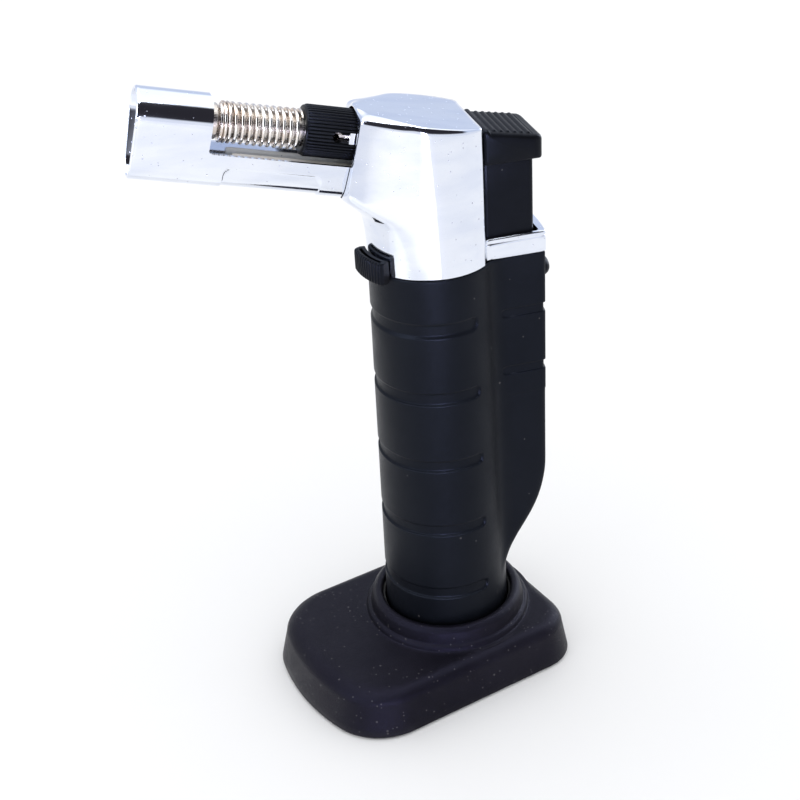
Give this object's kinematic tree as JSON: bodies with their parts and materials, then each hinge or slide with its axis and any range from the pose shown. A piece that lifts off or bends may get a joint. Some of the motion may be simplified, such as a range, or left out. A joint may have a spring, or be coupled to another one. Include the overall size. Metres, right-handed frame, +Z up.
{
  "type": "butane torch",
  "caption": "Hand-held butane micro torch on a moulded stand: upright fuel tank handle, plated head, hooded burner with spring and air sleeve, thumb trigger igniter.",
  "frame": {"origin": "On the handle axis, at the level surface the stand rests on", "axes": "+Z up along the handle axis; the burner points to -X, the thumb trigger is at +X; the XZ plane is the torch mirror plane"},
  "size_m": [0.1037, 0.069, 0.1763],
  "materials": {
    "stand_black": "satin moulded plastic, faintly grained",
    "handle_black": "satin moulded plastic with a fine grain",
    "black_nylon": "plain moulded nylon",
    "chrome": "bright plated surface",
    "steel": "drawn stainless steel",
    "spring_steel": "bright drawn wire",
    "brass": "turned brass",
    "rubber": "soft black rubber",
    "white_nylon": "natural nylon",
    "ceramic": "glazed ceramic",
    "felt": "pressed felt",
    "lead_red": "insulated lead"
  },
  "bodies": {
    "stand": {"stand_base": "stand_black"},
    "socket": {"stand_liner": "rubber"},
    "torch": {"tank_handle": "handle_black", "tank_bottom_cap": "black_nylon", "tank_lid": "white_nylon", "fill_valve_body": "brass", "fill_valve_spring": "spring_steel", "gas_valve_body": "brass", "gas_valve_seal": "rubber", "gas_valve_spring": "spring_steel", "fuel_wick": "felt", "head_casing": "chrome", "head_chassis": "black_nylon", "chassis_screw_near": "steel", "chassis_screw_far": "steel", "lift_lever_pin": "steel", "burner_tube": "steel", "flame_holder": "brass", "burner_spring": "spring_steel", "nozzle_hood": "chrome", "jet_holder": "brass", "jet_orifice": "brass", "electrode_insulator": "ceramic", "electrode_wire": "steel", "gas_hose": "rubber", "piezo_body": "white_nylon", "piezo_spring": "spring_steel", "ignition_lead": "lead_red"},
    "fill_stem": {"fill_valve_stem": "brass"},
    "gas_stem": {"gas_valve_stem": "brass"},
    "flow_lever": {"gas_flow_lever": "black_nylon"},
    "lift": {"lift_lever": "steel"},
    "sleeve": {"air_sleeve": "black_nylon"},
    "trigger": {"trigger": "black_nylon"},
    "plunger": {"piezo_plunger": "white_nylon"},
    "lock": {"lock_button": "black_nylon"}
  },
  "joints": [
    {"name": "stand_swivel", "type": "hinge", "parent": "stand", "child": "socket", "pos_m": [0, 0, 0.01], "axis": [0, 0, 1], "continuous": true},
    {"name": "torch_lift", "type": "slide", "parent": "socket", "child": "torch", "axis": [0, 0, 1], "range_m": [0, 0.03]},
    {"name": "trigger_press", "type": "slide", "parent": "torch", "child": "trigger", "axis": [0, 0, -1], "range_m": [0, 0.006], "stiffness_N_per_m": 300, "springref_m": -0.01},
    {"name": "plunger_press", "type": "slide", "parent": "torch", "child": "plunger", "axis": [0, 0, -1], "range_m": [0, 0.006], "deforming": ["piezo_spring"]},
    {"name": "lift_lever_turn", "type": "hinge", "parent": "torch", "child": "lift", "pos_m": [0.006, 0, 0.1283], "axis": [0, 1, 0], "range_deg": [0, 12.5]},
    {"name": "gas_valve_open", "type": "slide", "parent": "torch", "child": "gas_stem", "axis": [0, 0, 1], "range_m": [0, 0.0016], "deforming": ["gas_valve_spring"]},
    {"name": "gas_flow_turn", "type": "hinge", "parent": "torch", "child": "flow_lever", "pos_m": [0, 0, 0.1243], "axis": [0, 0, 1], "range_deg": [-22, 4.5]},
    {"name": "air_sleeve_turn", "type": "hinge", "parent": "torch", "child": "sleeve", "pos_m": [-0.02275, 0, 0.15862], "axis": [0.9691, 0, -0.2465], "range_deg": [-30, 30]},
    {"name": "lock_press", "type": "slide", "parent": "torch", "child": "lock", "axis": [-1, 0, 0], "range_m": [0, 0.0012], "stiffness_N_per_m": 400, "springref_m": -0.002},
    {"name": "fill_valve_press", "type": "slide", "parent": "torch", "child": "fill_stem", "axis": [0, 0, 1], "range_m": [0, 0.0012], "stiffness_N_per_m": 500, "springref_m": -0.002, "deforming": ["fill_valve_spring"]}
  ],
  "couplings": [
    {"joint": "plunger_press", "follows": "trigger_press", "ratio": 1},
    {"joint": "lift_lever_turn", "follows": "trigger_press", "rad_per_m": 34.9},
    {"joint": "gas_valve_open", "follows": "trigger_press", "ratio": 0.25}
  ]
}
